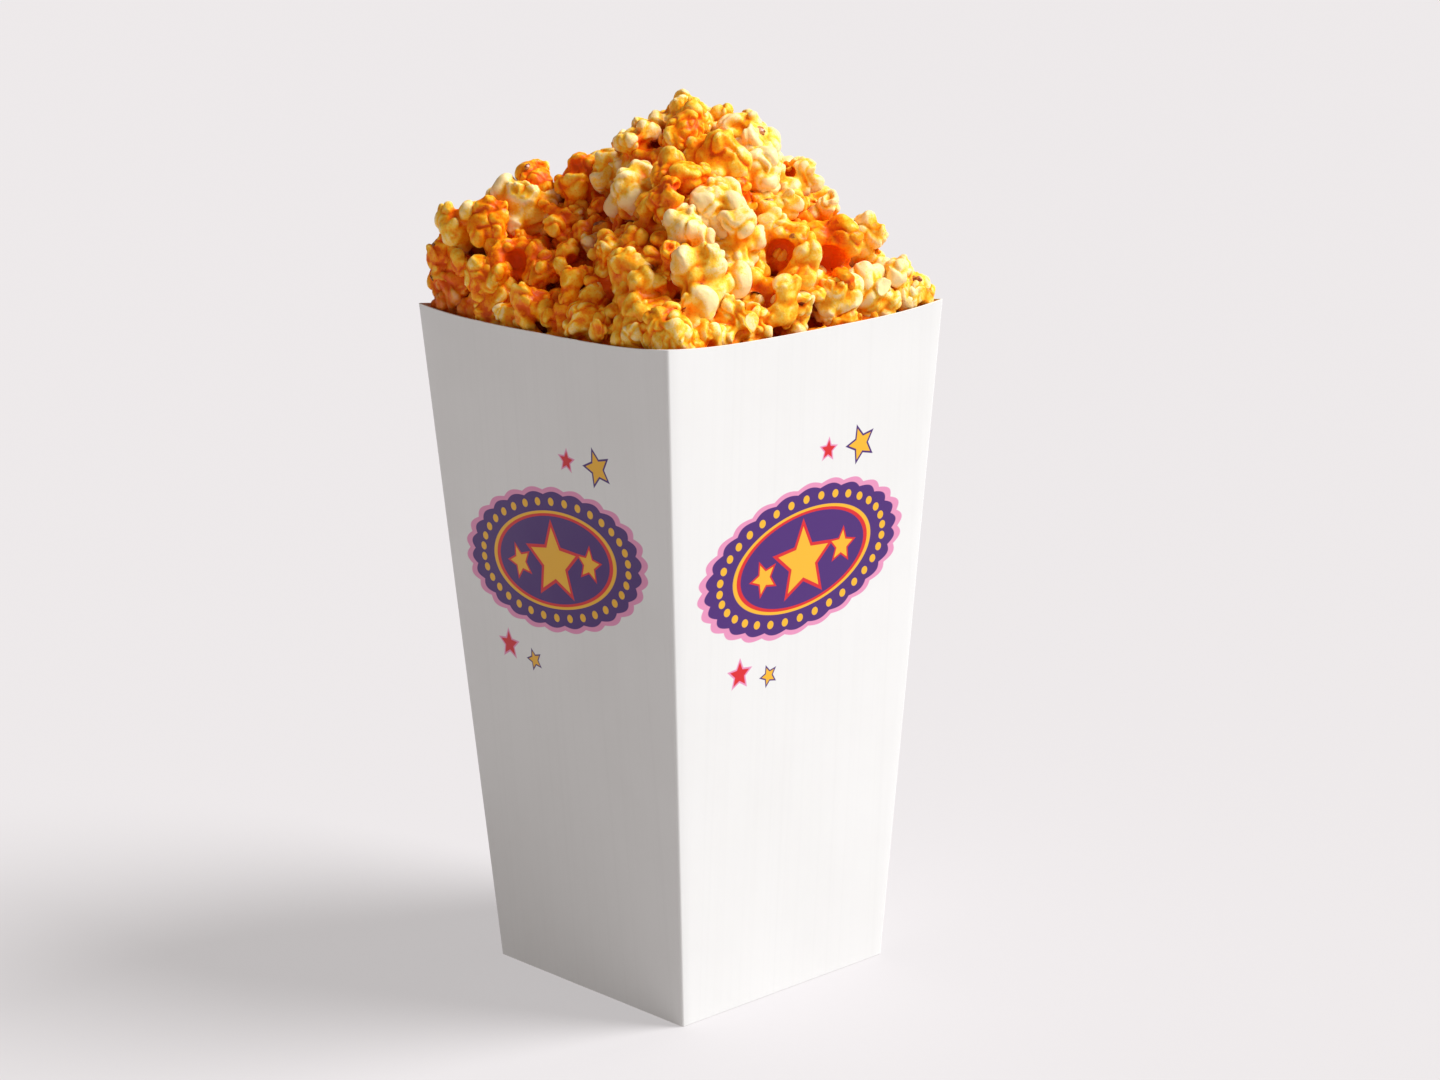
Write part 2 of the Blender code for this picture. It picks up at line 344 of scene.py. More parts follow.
def placeFlakes():
    draw = random.Random(heap["seed"])
    flakes = []
    for across, toward, z, size, kind, tone in keyFlakes:
        place = fromView(across / 1000, toward / 1000)
        flakes.append(settle(place, bucketSize["height"] + z / 1000, size / 1000, kind, draw))
        flakes[-1].update(tone=tone, key=True)
        if kind == "curled":
            flakes[-1]["turn"] = cupTurn(len(flakes))
    reach = halfWidth(bucketSize["height"])
    for _ in range(heap["tries"]):
        place = Vector((draw.uniform(-reach, reach), draw.uniform(-reach, reach)))
        size = draw.uniform(*heap["sizes"])
        kind = draw.choices(heap["kinds"], heap["weights"])[0]
        z = heapSurface(place) + draw.uniform(*heap["lift"])
        if max(abs(place.x), abs(place.y)) > reach - heap["wallTier"]:
            z = draw.uniform(bucketSize["height"] + heap["edgeLevel"], z)
        new = settle(place, z, size, kind, draw)
        if apart(new, flakes, heap["spacing"]):
            flakes.append(new)
    return flakes


# Flakes of the layer below, seen only through the gaps. Those for the corners are x, y, height over
# the rim and size in metres; those that fill the left edge are in millimetres, as in keyFlakes
under = {
    "seed": 77,
    "tries": 3000,
    "sizes": (0.0150, 0.0200),
    "spacing": 0.68,
    "clear": 0.48,
    "lift": (-0.0125, -0.0080),
    "cornerFlakes": (
        (0.055, 0.055, 0.003, 0.019),
        (0.057, 0.041, -0.002, 0.017),
        (0.041, 0.057, -0.001, 0.017),
    ),
    "fillFlakes": ((-74, -6, 21, 19), (-80, 4, 8, 19), (-87, 0, 9, 18)),
    "cornerTone": 0.54,
}


def placeUnderFlakes(outer):
    draw = random.Random(under["seed"])
    flakes = []
    reach = halfWidth(bucketSize["height"])
    for _ in range(under["tries"]):
        place = Vector((draw.uniform(-reach, reach), draw.uniform(-reach, reach)))
        kind = draw.choices(heap["kinds"], heap["weights"])[0]
        z = heapSurface(place) + draw.uniform(*under["lift"])
        new = settle(place, z, draw.uniform(*under["sizes"]), kind, draw)
        if apart(new, flakes, under["spacing"]) and apart(new, outer, under["clear"]):
            flakes.append(new)
    return flakes


def placeCornerFlakes():
    draw = random.Random(under["seed"])
    flakes = []
    for signX, signY in ((1, 1), (1, -1), (-1, 1), (-1, -1)):
        for x, y, z, size in under["cornerFlakes"]:
            place = Vector((x * signX, y * signY))
            flakes.append(settle(place, bucketSize["height"] + z, size, "mushroom", draw))
    for across, toward, z, size in under["fillFlakes"]:
        place = fromView(across / 1000, toward / 1000)
        flakes.append(settle(place, bucketSize["height"] + z / 1000, size / 1000, "mushroom", draw))
    for flake in flakes:
        flake["tone"] = under["cornerTone"]
    return flakes


# The lobes of each kind of popped kernel, in halves of its size
lobeShapes = {
    "mushroom": {"middle": 0.66, "count": 9, "reach": (0.50, 0.60), "radius": (0.32, 0.44),
                 "flat": 1.0},
    "butterfly": {"middle": 0.44, "count": 6, "reach": (0.52, 0.68), "radius": (0.28, 0.42),
                  "flat": 0.75},
    "curled": {"middle": 0.46, "low": -0.30, "count": 6, "ring": 0.56, "from": -125, "step": 50,
               "jitter": 10, "rise": (-0.10, 0.25), "radius": (0.30, 0.42)},
    "nub": ((0.0, 0.0, 0.28, 0.62), (0.12, 0.05, -0.38, 0.52), (-0.30, 0.20, -0.10, 0.45)),
}

# Petals round each lobe, then lumps, creases, pits and fine wrinkles
kernel = {
    "voxel": 0.036,
    "widest": 0.62,
    "grow": 1.14,
    "growKey": 1.30,
    "growFrom": 0.018,
    "growFade": 16.0,
    "sink": 1.0,
    "middleWithin": 0.1,
    "directionJitter": 0.3,
    "petals": {"butterfly": 2, "mushroom": 1, "curled": 2, "nub": 2},
    "lobeGrow": 1.10,
    "petalReach": 0.34,
    "petalSize": (0.85, 1.10),
    "petalFlat": (0.60, 0.85),
    "petalLong": 1.12,
    "melt": 5,
    "lumpScale": {"butterfly": 1.35, "mushroom": 1.5, "curled": 1.4, "nub": 1.4},
    "lumpHeight": {"butterfly": 0.20, "mushroom": 0.16, "curled": 0.14, "nub": 0.10},
    "lumpLevel": 0.45,
    "lumpStretch": (1.0, 0.8, 0.62),
    "lumpWarp": 0.42,
    "warpScale": 1.6,
    "creaseWidth": 0.11,
    "creaseDepth": 0.060,
    "wrinkleScale": 6.0,
    "wrinkleDepth": 0.022,
    "pits": {"butterfly": 3, "mushroom": 1, "curled": 2, "nub": 1},
    "pitSize": (0.26, 0.46),
    "pitDepth": (0.20, 0.36),
    "cupPit": (0.46, 0.24),
    "cupByHeight": 0.2,
    "hullFade": (1.1, 1.9),
    "crestRounds": ((3, 0.35), (30, 0.65)),
    "crestLimit": 2,
    "triangles": 4800,
    "lowerTriangles": 2400,
}


def spreadDirections(count, draw):
    found = []
    for k in range(count):
        z = 1 - (2 * k + 1) / count
        angle = k * math.pi * (3 - math.sqrt(5))
        ring = math.sqrt(1 - z * z)
        even = Vector((ring * math.cos(angle), ring * math.sin(angle), z))
        found.append((even + scatter(draw, kernel["directionJitter"])).normalized())
    return found


def flakeLobes(kind, variant):
    draw = random.Random(f"{kind} {variant}")
    shape = lobeShapes[kind]
    if kind == "nub":
        return [(Vector((x, y, z)), radius) for x, y, z, radius in shape]
    if kind == "curled":
        lobes = [(Vector((0, 0, shape["low"])), shape["middle"])]
        for k in range(shape["count"]):
            jitter = draw.uniform(-shape["jitter"], shape["jitter"])
            angle = math.radians(shape["from"] + shape["step"] * k + jitter)
            x, y = shape["ring"] * math.cos(angle), shape["ring"] * math.sin(angle)
            place = Vector((x, y, draw.uniform(*shape["rise"])))
            lobes.append((place, draw.uniform(*shape["radius"])))
        return lobes
    lobes = [(Vector((0, 0, 0)), shape["middle"])]
    for direction in spreadDirections(shape["count"], draw):
        place = direction * draw.uniform(*shape["reach"])
        place.z *= shape["flat"]
        lobes.append((place, draw.uniform(*shape["radius"])))
    return lobes


def smoothed(co, edges, rounds):
    count = np.bincount(edges.ravel(), minlength=len(co))[:, None]
    for _ in range(rounds):
        total = np.zeros_like(co)
        np.add.at(total, edges[:, 0], co[edges[:, 1]])
        np.add.at(total, edges[:, 1], co[edges[:, 0]])
        co = 0.5 * co + 0.5 * total / count
    return co


def meshArrays(mesh):
    co = np.empty(len(mesh.vertices) * 3, np.float32)
    normals = np.empty(len(mesh.vertices) * 3, np.float32)
    edges = np.empty(len(mesh.edges) * 2, np.int32)
    mesh.vertices.foreach_get("co", co)
    mesh.vertices.foreach_get("normal", normals)
    mesh.edges.foreach_get("vertices", edges)
    co, normals = (array.reshape(-1, 3).astype(float) for array in (co, normals))
    return co, normals, edges.reshape(-1, 2)


def moveVerts(mesh, co):
    mesh.vertices.foreach_set("co", co.astype(np.float32).ravel())
    mesh.update()


def addPetals(bm, kind, variant):
    draw = random.Random(f"petals {kind} {variant}")
    for centre, radius in flakeLobes(kind, variant):
        outward = centre.normalized() if centre.length > kernel["middleWithin"] else None
        body = Matrix.Translation(centre) @ Matrix.Scale(radius * kernel["lobeGrow"], 4)
        bmesh.ops.create_icosphere(bm, subdivisions=3, radius=1.0, matrix=body)
        for direction in spreadDirections(kernel["petals"][kind] * 2, draw):
            if outward is None or direction.dot(outward) < 0.0:
                continue
            size = radius * draw.uniform(*kernel["petalSize"])
            turn = anyTurn(draw).to_4x4()
            thick = size * draw.uniform(*kernel["petalFlat"])
            flat = Matrix.Diagonal((thick, size, size * kernel["petalLong"], 1))
            place = Matrix.Translation(centre + direction * radius * kernel["petalReach"])
            bmesh.ops.create_icosphere(bm, subdivisions=3, radius=1.0, matrix=place @ turn @ flat)


def lumpPush(co, kind, variant):
    draw = random.Random(f"lumps {kind} {variant}")
    shift = scatter(draw, 50)
    stretch = Matrix.Diagonal(kernel["lumpStretch"]) @ anyTurn(draw)
    scale, height = kernel["lumpScale"][kind], kernel["lumpHeight"][kind]
    push = np.empty(len(co))
    for k, point in enumerate(co):
        place = Vector(point)
        warp = noise.noise_vector(place * kernel["warpScale"] + shift) * kernel["lumpWarp"]
        near, second = noise.voronoi(stretch @ (place + warp) * scale + shift)[0][:2]
        crease = math.exp(-(((second - near) / (scale * kernel["creaseWidth"])) ** 2))
        wrinkle = noise.noise(place * kernel["wrinkleScale"] + shift)
        push[k] = height * (kernel["lumpLevel"] - near) - kernel["creaseDepth"] * crease
        push[k] += kernel["wrinkleDepth"] * wrinkle
    return push


def pitPush(co, kind, variant):
    draw = random.Random(f"pits {kind} {variant}")
    push, hull = np.zeros(len(co)), np.zeros(len(co))
    for k in range(kernel["pits"][kind]):
        centre = co[draw.randrange(len(co))]
        size, depth = draw.uniform(*kernel["pitSize"]), draw.uniform(*kernel["pitDepth"])
        if kind == "curled" and k == 0:        # the cup's own hollow, amid its open side
            offAxis = np.hypot(co[:, 0], co[:, 1])
            centre = co[np.argmin(offAxis - kernel["cupByHeight"] * co[:, 2])]
            size, depth = kernel["cupPit"]
        away = np.linalg.norm(co - centre, axis=1) / size
        push -= depth * np.clip(1 - away**2, 0, 1) ** 2
        if k == 0 and variant % 2 == 0:
            full, fade = kernel["hullFade"]
            hull = np.clip(full - fade * away, 0, 1)
    return push, hull


def makeKernelMesh(kind, variant, detail):
    bm = bmesh.new()
    addPetals(bm, kind, variant)
    mesh = bpy.data.meshes.new(f"{kind}{variant}")
    bm.to_mesh(mesh)
    bm.free()
    shape = bpy.data.objects.new("shape", mesh)
    bpy.context.scene.collection.objects.link(shape)
    remesh = shape.modifiers.new("one skin", "REMESH")
    remesh.mode, remesh.voxel_size = "VOXEL", kernel["voxel"]
    mesh = bakeModifiers(shape)
    co, _, edges = meshArrays(mesh)
    moveVerts(mesh, smoothed(co, edges, kernel["melt"]))
    co, normals, edges = meshArrays(mesh)
    co += normals * lumpPush(co, kind, variant)[:, None]
    pits, hull = pitPush(co, kind, variant)
    moveVerts(mesh, smoothed(co + normals * pits[:, None], edges, 1))
    writeAttribute(mesh, "hull", hull.astype(np.float32))
    thin = shape.modifiers.new("fewer triangles", "DECIMATE")
    thin.ratio = kernel[detail] / (2 * len(mesh.polygons))
    mesh = bakeModifiers(shape)
    co, normals, edges = meshArrays(mesh)
    # Partly real, the seasoning lying thicker in the creases, and partly painted shade deep in the
    # creases
    seasoningAndShade = np.zeros(len(co))        # ridges are paler than creases
    for rounds, weight in kernel["crestRounds"]:
        rise = ((co - smoothed(co, edges, rounds)) * normals).sum(1)
        rise = (rise - rise.mean()) / rise.std()
        seasoningAndShade += weight * np.clip(rise, -kernel["crestLimit"], kernel["crestLimit"])
    writeAttribute(mesh, "seasoningAndShade", seasoningAndShade.astype(np.float32))
    bpy.data.objects.remove(shape)
    return mesh


# A flake at a wall is squeezed on that side, so that it doesn't cross the board
def besideWalls(centre, offset, size):
    point = centre + offset
    limit = roomAt(point.z)
    for axis in (0, 1):
        outward = offset[axis] * centre[axis] > 0
        squeeze = min(1, (limit - abs(centre[axis])) / (size / 2)) if outward else 1
        value = centre[axis] + offset[axis] * squeeze
        point[axis] = max(-limit, min(limit, value))
    return point


# Painted shade: how deep a vertex lies in the heap, from 0 to 1; the deeper, the darker orange its
# colour
def addPaintedGapShade(mesh):
    co = meshArrays(mesh)[0]
    values = []
    for x, y, z in co:
        depth = heapSurface(Vector((x, y))) + cheese["gapShadeFrom"] - z
        values.append(min(1.0, max(0.0, depth / cheese["gapShadeDepth"])))
    writeAttribute(mesh, "paintedGapShade", values)


def nearWall(flake):
    reach = max(abs(flake["centre"].x), abs(flake["centre"].y)) + kernel["widest"] * flake["size"]
    return reach > roomAt(flake["centre"].z - flake["size"] / 2)


# How much larger a flake is here than its lobes in the solids
def growth(flake):
    most = kernel["growKey"] - max(0.0, kernel["growFade"] * (flake["size"] - kernel["growFrom"]))
    return most if flake["key"] else kernel["grow"]


# The hollow left of the peak, with its flakes further in; its deeper orange tone is painted shade
cleft = {"across": -0.030, "toward": 0.021, "spread": 0.010, "depth": 0.012, "tone": 0.45}


def cleftShare(place):
    off = place - fromView(cleft["across"], cleft["toward"])
    return math.exp(-off.length_squared / (2 * cleft["spread"] ** 2))


# A grown flake goes in by what it grew, so that the heap keeps its outline
def sinkIn(flake, grown):
    outward = (flake["centre"] - Vector((0, 0, bucketSize["height"]))).normalized()
    depth = grown * (growth(flake) - 1) * flake["size"] / 2
    flake["centre"] -= outward * (depth + cleft["depth"] * cleftShare(flake["centre"].xy))


def joinFlakes(name, flakes, kernels, material):
    bm = bmesh.new()
    tones = []
    for flake in flakes:
        start = len(bm.verts)
        bm.from_mesh(kernels[flake["kind"], flake["variant"]])
        bm.verts.ensure_lookup_table()
        new = bm.verts[start:]
        turn = (flake["turn"] @ Matrix.Scale(growth(flake) * flake["size"] / 2, 3)).to_4x4()
        if nearWall(flake):
            for vert in new:
                vert.co = besideWalls(flake["centre"], turn @ vert.co, flake["size"])
        else:
            bmesh.ops.transform(bm, matrix=Matrix.Translation(flake["centre"]) @ turn, verts=new)
        tones += [flake["tone"]] * len(new)
    mesh = bpy.data.meshes.new(name)
    bm.to_mesh(mesh)
    bm.free()
    writeAttribute(mesh, "tone", tones)
    addPaintedGapShade(mesh)
    piece = addMeshPiece(name, mesh, [material])
    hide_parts("popcorn")
    return piece


# The cheese's colours from deep orange to cream, and what shifts the tone between them
cheese = {
    "deep": (0.78, 0.098, 0.001),
    "orange": (0.93, 0.205, 0.001),
    "amber": (0.98, 0.355, 0.006),
    "yellow": (0.99, 0.57, 0.050),
    "cream": (0.99, 0.73, 0.36),
    "stops": (0.0, 0.22, 0.45, 0.70, 1.0),
    "hull": (0.20, 0.040, 0.010),
    "hullEdge": (0.35, 0.6),
    # painted shade for the gaps deep in the heap
    "paintedGapShade": (0.64, 0.058, 0.001),
    "gapShadeFrom": 0.002,
    "gapShadeDepth": 0.015,
    "gapShadeShare": 0.75,
    "dustScale": 1700.0,
    "dustEdge": (0.52, 0.66),
    "dustDepth": 0.16,
    "spreadOfTone": (0.50, 0.17),
    "toneRange": (0.12, 0.85),
    # painted shade: the layer below is a deeper orange than the top one
    "spreadBelow": (0.26, 0.10),
    "toneRangeBelow": (0.05, 0.60),
    # painted light: flakes toward the lit right are paler, those toward the shaded left a deeper
    # orange
    "paintedSideLight": 2.6,
    "yellowFrom": 0.47,
    "foamScale": 300.0,
    "foamDepth": 0.0014,
    "powderRise": 0.00035,
    "bumpStrength": 0.5,
    "patchScale": 85.0,
    "patchDepth": 1.25,
    "patchRange": (0.35, 0.65),
    "powderScale": 800.0,
    "powderDepth": 0.45,
    # ridge measure: real seasoning in the creases and painted shade there
    "seasoningAndShadeDepth": 0.24,
    "leastTone": 0.25,
    "roughness": (0.46, 0.28),
    "shine": 0.13,
    "glow": 0.12,
    "glowRadius": (1.0, 0.55, 0.12),
    "glowScale": 0.003,
}


def makeCheeseMaterial(look):
    s = Shading("cheesePopcorn")
    place = s.coords.outputs["Object"]
    patches = s.noise(place, look["patchScale"], 3.0, 0.55, 0.5)
    powder = s.noise(place, look["powderScale"], 3.0, 0.6)
    # the ridge measure shifts the tone: real seasoning and painted shade in the creases
    tone = s.math("MULTIPLY_ADD", s.attribute("seasoningAndShade"), look["seasoningAndShadeDepth"], s.attribute("tone"))
    tone = s.math("MULTIPLY_ADD", s.math("SUBTRACT", patches, 0.5), look["patchDepth"], tone)
    tone = s.math("MULTIPLY_ADD", s.math("SUBTRACT", powder, 0.5), look["powderDepth"], tone)
    dust = s.noise(place, look["dustScale"], 2.0, 0.6)
    tone = s.math("ADD", tone, s.spread(dust, *look["dustEdge"], 0.0, -look["dustDepth"]))
    colours = [look[name] for name in ("deep", "orange", "amber", "yellow", "cream")]
    colour = s.ramp(tone, list(zip(look["stops"], colours)))
    hull = s.math("ADD", s.attribute("hull"), s.math("SUBTRACT", powder, 0.5))
    hull = s.spread(hull, *look["hullEdge"])
    # painted shade: deeper in the heap the colour turns a darker orange
    paintedGapShade = s.math("MULTIPLY", s.attribute("paintedGapShade"), look["gapShadeShare"])
    colour = s.mix(paintedGapShade, colour, look["paintedGapShade"])
    s.put(s.mix(hull, colour, look["hull"]), s.shader.inputs["Base Color"])
    rough = s.spread(patches, *look["patchRange"], *look["roughness"])
    s.put(rough, s.shader.inputs["Roughness"])
    s.shader.inputs["Specular IOR Level"].default_value = look["shine"]
    s.shader.inputs["Subsurface Weight"].default_value = look["glow"]
    s.shader.inputs["Subsurface Radius"].default_value = look["glowRadius"]
    s.shader.inputs["Subsurface Scale"].default_value = look["glowScale"]
    foam = s.tree.nodes.new("ShaderNodeTexVoronoi")
    foam.feature = "SMOOTH_F1"
    s.put(place, foam.inputs["Vector"])
    foam.inputs["Scale"].default_value = look["foamScale"]
    rounded = s.math("MULTIPLY", foam.outputs["Distance"], -1.0)
    lumps = s.bump(rounded, look["bumpStrength"], look["foamDepth"])
    fine = s.bump(powder, look["bumpStrength"], look["powderRise"], lumps)
    s.put(fine, s.shader.inputs["Normal"])
    return s.material


# The heap's own core, a lumpy dark mass under the flakes: its darkness is painted shade, seen
# through the gaps
coreShape = {
    "drop": 0.016,
    "inset": 0.007,
    "cells": 90,
    "lump": 0.003,
    "lumpScale": 170.0,
    "belowRim": 0.020,
}


def makeCore(material):
    bm = bmesh.new()
    cells = coreShape["cells"]
    bmesh.ops.create_grid(bm, x_segments=cells, y_segments=cells, size=1.0)
    for vert in bm.verts:
        place = vert.co.xy * (roomAt(bucketSize["height"]) - coreShape["inset"])
        lump = noise.noise(place.to_3d() * coreShape["lumpScale"]) * coreShape["lump"]
        vert.co = place.to_3d() + Vector((0, 0, heapSurface(place) - coreShape["drop"] + lump))
    top, bottom = bucketSize["height"] - coreShape["belowRim"], bucketSize["floorThickness"]
    for z in (top, bottom + heap["wallGap"]):
        border = [edge for edge in bm.edges if edge.is_boundary]
        made = bmesh.ops.extrude_edge_only(bm, edges=border)["geom"]
        for vert in (item for item in made if isinstance(item, bmesh.types.BMVert)):
            share = vert.co.xy / max(abs(vert.co.x), abs(vert.co.y))
            vert.co = (share * roomAt(z)).to_3d() + Vector((0, 0, z))
    bmesh.ops.contextual_create(bm, geom=[edge for edge in bm.edges if edge.is_boundary])
    bmesh.ops.recalc_face_normals(bm, faces=bm.faces)
    core = addPiece("popcornCore", bm, [material])
    # the whole core takes the painted gap shade
    writeAttribute(core.data, "paintedGapShade", [1.0] * len(core.data.vertices))
    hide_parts("popcorn")


# Bits of the kernels' dark skins: thin ragged caps, stuck on where a ray from outside meets a flake
hulls = {
    "seed": 9,
    "count": 40,
    "cells": 7,
    "radius": (0.0013, 0.0024),
    "narrow": (0.55, 0.95),
    "curve": 0.30,
    "dent": 0.12,
    "dentScale": 1.5,
    "ragged": 0.55,
    "raggedScale": 2.2,
    "thickness": 0.00010,
    "sink": 0.0003,
    "lean": 0.35,
    "from": 0.05,
    "frontRise": 0.35,
    "rise": 0.6,
    "spread": 0.5,
    "tries": 9,
    "jitter": 0.005,
    "overRim": 0.002,
    "facing": -0.3,
    "near": (
        (-84, 8, 24), (-39, 38, 26), (-31, 43, 21), (-13, 62, 19),
        (-2, 74, 10), (26, 12, 60), (44, 52, 6),
    ),
    "skin": (0.24, 0.045, 0.008),
    "edge": (0.60, 0.22, 0.045),
    "mottleScale": 700.0,
    "mottleRange": (0.42, 0.62),
    "roughness": 0.32,
}


def addHull(bm, place, outward, draw):
    cap = bmesh.new()
    cells = hulls["cells"]
    made = bmesh.ops.create_grid(cap, x_segments=cells, y_segments=cells, size=1.0)["verts"]
    radius = draw.uniform(*hulls["radius"])
    shift = scatter(draw, 40)
    lean = scatter(draw, 1) * hulls["lean"]
    turn = (outward + lean).normalized().to_track_quat("Z", "Y").to_matrix()
    narrow = draw.uniform(*hulls["narrow"])
    for vert in made:
        x, y = vert.co.xy
        disc = Vector((x * math.sqrt(1 - y * y / 2), y * math.sqrt(1 - x * x / 2)))
        ragged = noise.noise(disc.to_3d() * hulls["raggedScale"] + shift)
        disc *= 1 + hulls["ragged"] * ragged
        bulge = hulls["curve"] * (1 - disc.length_squared)
        dent = hulls["dent"] * noise.noise(disc.to_3d() * hulls["dentScale"] - shift)
        shape = Vector((disc.x, disc.y * narrow, bulge + dent))
        vert.co = place + turn @ shape * radius
    back = cap.copy()
    bmesh.ops.translate(back, verts=back.verts, vec=turn @ Vector((0, 0, -hulls["thickness"])))
    for layer in (cap, back):
        mesh = bpy.data.meshes.new("layer")
        layer.to_mesh(mesh)
        layer.free()
        bm.from_mesh(mesh)
        bpy.data.meshes.remove(mesh)
        if layer is back:
            border = [edge for edge in bm.edges if edge.is_boundary]
            bmesh.ops.bridge_loops(bm, edges=border)


def makeHulls(pieces, outer):
    bm = bmesh.new()
    for piece in pieces:
        bm.from_mesh(piece.data)
    tree = BVHTree.FromBMesh(bm)
    bm.free()
    draw = random.Random(hulls["seed"])
    middle = Vector((0, 0, bucketSize["height"]))
    front = Vector((math.sin(viewedFrom), -math.cos(viewedFrom), hulls["frontRise"])).normalized()
    starts = []
    for across, toward, z in hulls["near"]:
        aim = fromView(across / 1000, toward / 1000).to_3d() + middle + Vector((0, 0, z / 1000))
        starts.append((aim + front * hulls["from"], -front))
    for flake in draw.sample(outer, hulls["count"] - len(starts)):
        lean = scatter(draw, hulls["spread"])
        outward = (flake["centre"] - middle).normalized() + Vector((0, 0, hulls["rise"])) + lean
        outward.normalize()
        starts.append((flake["centre"] + outward * hulls["from"], -outward))
    bm = bmesh.new()
    for start, way in starts:
        found = []
        for _ in range(hulls["tries"]):
            aside = scatter(draw, 1) * hulls["jitter"]
            hit, normal, _, depth = tree.ray_cast(start + aside, way)
            above = hit and hit.z > bucketSize["height"] + hulls["overRim"]
            if above and normal.dot(way) < hulls["facing"]:
                found.append((depth, hit - normal * hulls["sink"], normal))
        if found:
            addHull(bm, *max(found, key=lambda item: item[0])[1:], draw)
    bmesh.ops.recalc_face_normals(bm, faces=bm.faces)
    s = Shading("kernelSkin")
    mottle = s.noise(s.coords.outputs["Object"], hulls["mottleScale"], 3.0, 0.6)
    colour = s.mix(s.spread(mottle, *hulls["mottleRange"]), hulls["skin"], hulls["edge"])
    s.put(colour, s.shader.inputs["Base Color"])
    s.shader.inputs["Roughness"].default_value = hulls["roughness"]
    piece = addPiece("kernelSkins", bm, [s.material])
    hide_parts("popcorn")


def anyTone(draw, spread, limits):
    return min(limits[1], max(limits[0], draw.gauss(*spread)))


def makeHeap():
    pairs = [(kind, variant) for kind in heap["kinds"] for variant in range(heap["variants"])]
    detail = "triangles"
    kernels = {pair: makeKernelMesh(*pair, detail) for pair in pairs}
    lowerKernels = {pair: makeKernelMesh(*pair, "lowerTriangles") for pair in pairs}
    say("kernels")
    outer = placeFlakes()
    lower = placeUnderFlakes(outer) + placeCornerFlakes()
    draw = random.Random(heap["seed"])
    for flake in outer:
        sinkIn(flake, kernel["sink"])
        flake.setdefault("tone", anyTone(draw, cheese["spreadOfTone"], cheese["toneRange"]))
    for flake in lower:
        sinkIn(flake, 0.0)
        # the lower tones are painted shade in the gaps
        flake.setdefault("tone", anyTone(draw, cheese["spreadBelow"], cheese["toneRangeBelow"]))
    # painted light and shade: paler toward the lit right, a deeper orange toward the left and in
    # the hollow
    right = fromView(1.0, 0.0)
    for flake in outer + lower:
        paintedLightShift = cheese["paintedSideLight"] * flake["centre"].xy.dot(right)
        # painted shade: the flakes in the hollow left of the peak are a deeper orange
        if not flake["key"]:
            paintedLightShift -= cleft["tone"] * cleftShare(flake["centre"].xy)
        flake["tone"] = max(cheese["leastTone"], flake["tone"] + paintedLightShift)
    material = makeCheeseMaterial(cheese)
    makeCore(material)
    groups = {}
    for flake in outer:
        warmth = "Orange" if flake["tone"] < cheese["yellowFrom"] else "Yellow"
        groups.setdefault(f"{flake['kind']}{warmth}", []).append(flake)
    for k, flake in enumerate(lower):
        groups.setdefault(f"under{flake['kind'].title()}{k % 2}", []).append(flake)
    pieces = []
    for name, flakes in groups.items():
        meshes = lowerKernels if name.startswith("under") else kernels
        pieces.append(joinFlakes(name, flakes, meshes, material))
    makeHulls(pieces, outer)
    print(len(outer), "flakes on top,", len(lower), "under them,", len(groups), "pieces")
    for mesh in [*kernels.values(), *lowerKernels.values()]:
        bpy.data.meshes.remove(mesh)


makeHeap()
say("heap")


# The bucket: four walls with rounded folds and a cut rim
wallMesh = {
    "across": 28,
    "up": 36,
    "foldSegments": 4,
    "longEdge": 0.1,
    "undulation": 0.00018,
    "undulationScale": 22.0,
}


# From a straight box to the tapered, slightly bowed wall with its dipped rim
def wallPoint(point):
    top = bucketSize["topWidth"] / 2
    height = bucketSize["height"]
    level = point.z / height
    across = min(abs(point.x), abs(point.y)) / (top - bucketSize["foldRadius"])
    dip = bucketSize["rimDip"] * (1 - min(1.0, across) ** bucketSize["rimDipPower"]) * level
    z = point.z - dip
    share = halfWidth(z) / top
    made = Vector((point.x * share, point.y * share, z))
    slack = max(0.0, 1 - across**2)
    bow = bucketSize["wallBow"] * math.sin(math.pi * level) * slack
    wave = noise.noise(point * wallMesh["undulationScale"]) * wallMesh["undulation"] * slack
    axis = 0 if abs(point.x) > abs(point.y) else 1
    made[axis] += math.copysign(bow + wave, point[axis])
    return made


sharpAngle = math.radians(50)


def edgeRise(edge):
    return abs(edge.verts[0].co.z - edge.verts[1].co.z)


